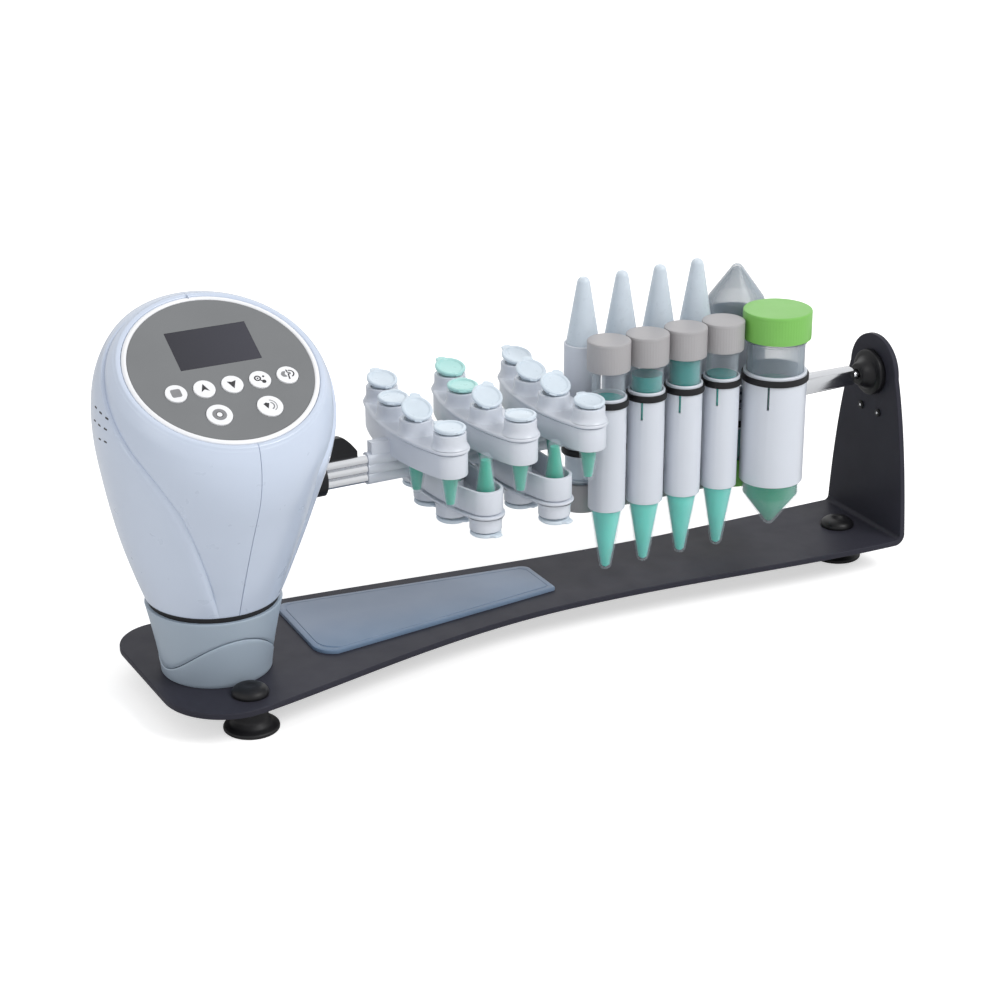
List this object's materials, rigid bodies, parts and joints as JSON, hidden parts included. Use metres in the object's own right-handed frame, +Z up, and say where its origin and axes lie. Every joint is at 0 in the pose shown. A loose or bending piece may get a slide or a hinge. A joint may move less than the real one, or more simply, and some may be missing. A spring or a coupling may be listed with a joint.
{
  "type": "tube rotator",
  "caption": "Bench tube rotator: tilted-panel drive head and end support on a bent sheet base, turning a lobed bar with small-tube racks and clip-on conical tube holders.",
  "frame": {"origin": "middle of the object's box on the table plane under the feet", "axes": "+X along the rotor axis from the drive head to the end support, +Y to the rear, +Z up"},
  "size_m": [0.4284, 0.1224, 0.1943],
  "materials": {
    "sheet": "fine satin powder coat",
    "pad": "smooth, slightly translucent",
    "rubber": "matt",
    "black_plastic": "satin",
    "pedestal": "satin moulding",
    "head": "smooth semi-gloss moulding",
    "white_plastic": "smooth",
    "panel": "membrane, satin",
    "screen": "clear window over a dark display",
    "board": "solder mask",
    "steel": "machined",
    "chrome": "polished",
    "gear_plastic": "moulded acetal",
    "holder": "satin moulding",
    "frosted": "translucent polypropylene",
    "grey_cap": "moulded",
    "green_cap": "moulded"
  },
  "bodies": {
    "stand": {"base_plate": "sheet", "base_pad": "pad", "rubber_feet": "rubber", "foot_plugs": "black_plastic", "pedestal_lower": "pedestal", "pedestal_upper": "pedestal", "neck_ring": "black_plastic", "screws": "steel", "end_boss": "black_plastic", "bearings": "steel", "head_left_shell": "head", "head_right_shell": "head", "bezel_ring": "white_plastic", "control_panel": "panel", "lcd_window": "screen", "lcd_module": "steel", "control_board": "board", "gear_motor": "steel", "motor_bracket": "steel", "power_socket": "black_plastic", "switch_frame": "black_plastic"},
    "rotor": {"drive_gear": "gear_plastic", "output_shaft": "steel", "drive_hub": "black_plastic", "rotor_bar": "chrome", "bar_ferrule": "chrome", "rack_clips": "holder", "upper_rack_1": "holder", "upper_rack_2": "holder", "upper_rack_3": "holder", "lower_rack_1": "holder", "lower_rack_2": "holder", "small_tubes": "frosted", "thin_holder_1": "holder", "thin_holder_2": "holder", "thin_holder_3": "holder", "thin_holder_4": "holder", "thick_holder": "holder", "retaining_bands": "rubber", "rear_tubes": "frosted", "rear_caps": "grey_cap"},
    "pinion": {"motor_pinion": "steel"},
    "rocker": {"power_rocker": "black_plastic"},
    "key_stop": {"button_stop": "white_plastic"},
    "key_up": {"button_up": "white_plastic"},
    "key_down": {"button_down": "white_plastic"},
    "key_mode": {"button_mode": "white_plastic"},
    "key_timer": {"button_timer": "white_plastic"},
    "key_power": {"button_power": "white_plastic"},
    "key_run": {"button_run": "white_plastic"},
    "thin_sample_1": {"thin_tube_1": "frosted", "thin_cap_1": "grey_cap"},
    "thin_sample_2": {"thin_tube_2": "frosted", "thin_cap_2": "grey_cap"},
    "thin_sample_3": {"thin_tube_3": "frosted", "thin_cap_3": "grey_cap"},
    "thin_sample_4": {"thin_tube_4": "frosted", "thin_cap_4": "grey_cap"},
    "thick_sample": {"thick_tube": "frosted", "thick_cap": "green_cap"}
  },
  "joints": [
    {"name": "rotor_spin", "type": "hinge", "parent": "stand", "child": "rotor", "pos_m": [0, 0.00419, 0.1011], "axis": [1, 0, 0], "continuous": true},
    {"name": "pinion_spin", "type": "hinge", "parent": "stand", "child": "pinion", "pos_m": [-0.14716, 0.00419, 0.1311], "axis": [1, 0, 0], "continuous": true},
    {"name": "rocker_tilt", "type": "hinge", "parent": "stand", "child": "rocker", "pos_m": [-0.17516, 0.03919, 0.076], "axis": [1, 0, 0], "range_deg": [0, 14]},
    {"name": "button_stop_press", "type": "slide", "parent": "stand", "child": "key_stop", "axis": [0, 0.5, -0.866], "range_m": [0, 0.0008], "stiffness_N_per_m": 400},
    {"name": "button_up_press", "type": "slide", "parent": "stand", "child": "key_up", "axis": [0, 0.5, -0.866], "range_m": [0, 0.0008], "stiffness_N_per_m": 400},
    {"name": "button_down_press", "type": "slide", "parent": "stand", "child": "key_down", "axis": [0, 0.5, -0.866], "range_m": [0, 0.0008], "stiffness_N_per_m": 400},
    {"name": "button_mode_press", "type": "slide", "parent": "stand", "child": "key_mode", "axis": [0, 0.5, -0.866], "range_m": [0, 0.0008], "stiffness_N_per_m": 400},
    {"name": "button_timer_press", "type": "slide", "parent": "stand", "child": "key_timer", "axis": [0, 0.5, -0.866], "range_m": [0, 0.0008], "stiffness_N_per_m": 400},
    {"name": "button_power_press", "type": "slide", "parent": "stand", "child": "key_power", "axis": [0, 0.5, -0.866], "range_m": [0, 0.0008], "stiffness_N_per_m": 400},
    {"name": "button_run_press", "type": "slide", "parent": "stand", "child": "key_run", "axis": [0, 0.5, -0.866], "range_m": [0, 0.0008], "stiffness_N_per_m": 400},
    {"name": "thin_tube_1_pull", "type": "slide", "parent": "rotor", "child": "thin_sample_1", "axis": [0, 0, -1], "range_m": [-0.1, 0]},
    {"name": "thin_tube_2_pull", "type": "slide", "parent": "rotor", "child": "thin_sample_2", "axis": [0, 0, -1], "range_m": [-0.1, 0]},
    {"name": "thin_tube_3_pull", "type": "slide", "parent": "rotor", "child": "thin_sample_3", "axis": [0, 0, -1], "range_m": [-0.1, 0]},
    {"name": "thin_tube_4_pull", "type": "slide", "parent": "rotor", "child": "thin_sample_4", "axis": [0, 0, -1], "range_m": [-0.1, 0]},
    {"name": "thick_tube_pull", "type": "slide", "parent": "rotor", "child": "thick_sample", "axis": [0, 0, -1], "range_m": [-0.1, 0]}
  ],
  "couplings": [
    {"joint": "pinion_spin", "follows": "rotor_spin", "ratio": -3}
  ]
}
